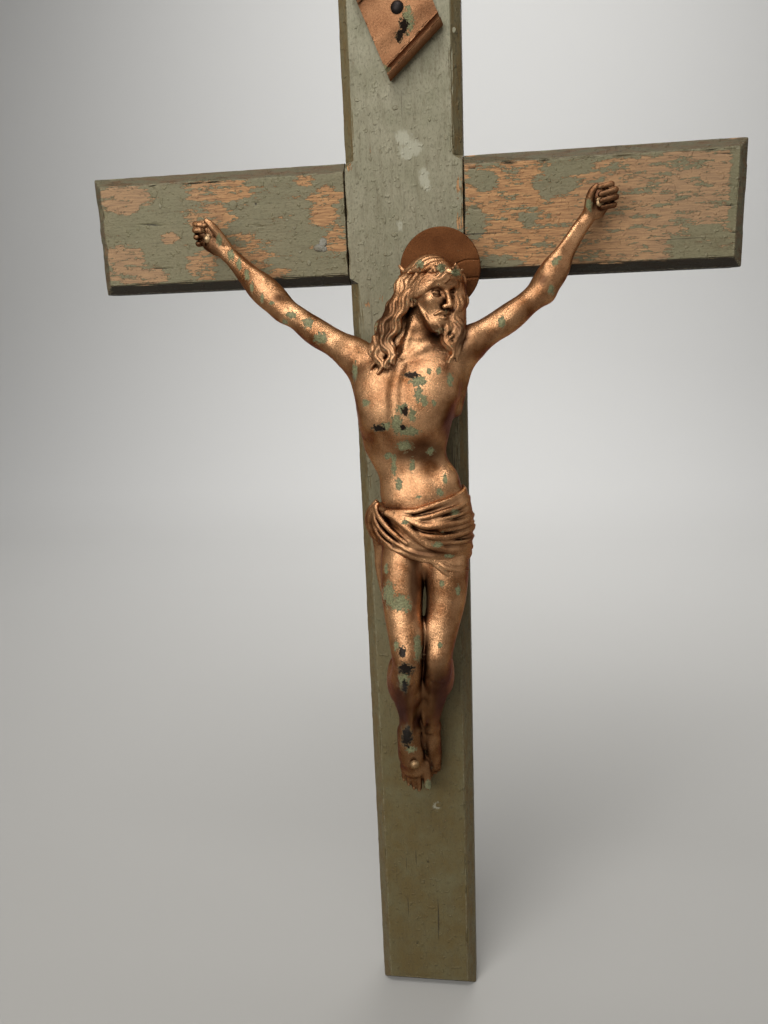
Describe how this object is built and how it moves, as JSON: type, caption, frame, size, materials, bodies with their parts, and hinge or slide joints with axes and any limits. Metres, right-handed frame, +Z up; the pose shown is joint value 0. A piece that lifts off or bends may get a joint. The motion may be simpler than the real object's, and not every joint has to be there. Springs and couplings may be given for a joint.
{
  "type": "wall crucifix",
  "caption": "Chamfered wooden cross, worn grey-green paint over bare wood, with a cast copper-painted figure, a halo disc and a bare rolled scroll; hangs on a wall.",
  "frame": {"origin": "centre of the hanging hole's mouth, on the back face of the upright", "axes": "+Z up along the upright, +Y into the wall, +X to the viewer's right; the front faces -Y"},
  "size_m": [0.317, 0.0758, 0.61],
  "materials": {
    "painted_wood": "grey-green paint, worn through to bare wood",
    "painted_casting": "satin copper paint, chipped to a grey-green undercoat and dark metal",
    "nail_iron": "dark rusted iron",
    "screw_steel": "dull zinc-plated steel"
  },
  "bodies": {
    "root": {"upright": "painted_wood", "crossbar": "painted_wood", "lap_screws": "screw_steel", "corpus_body": "painted_casting", "corpus_right_arm": "painted_casting", "corpus_left_arm": "painted_casting", "halo": "painted_casting", "title_scroll": "painted_casting", "hand_nails": "painted_casting", "feet_nail": "painted_casting", "scroll_nail": "nail_iron"}
  },
  "joints": []
}
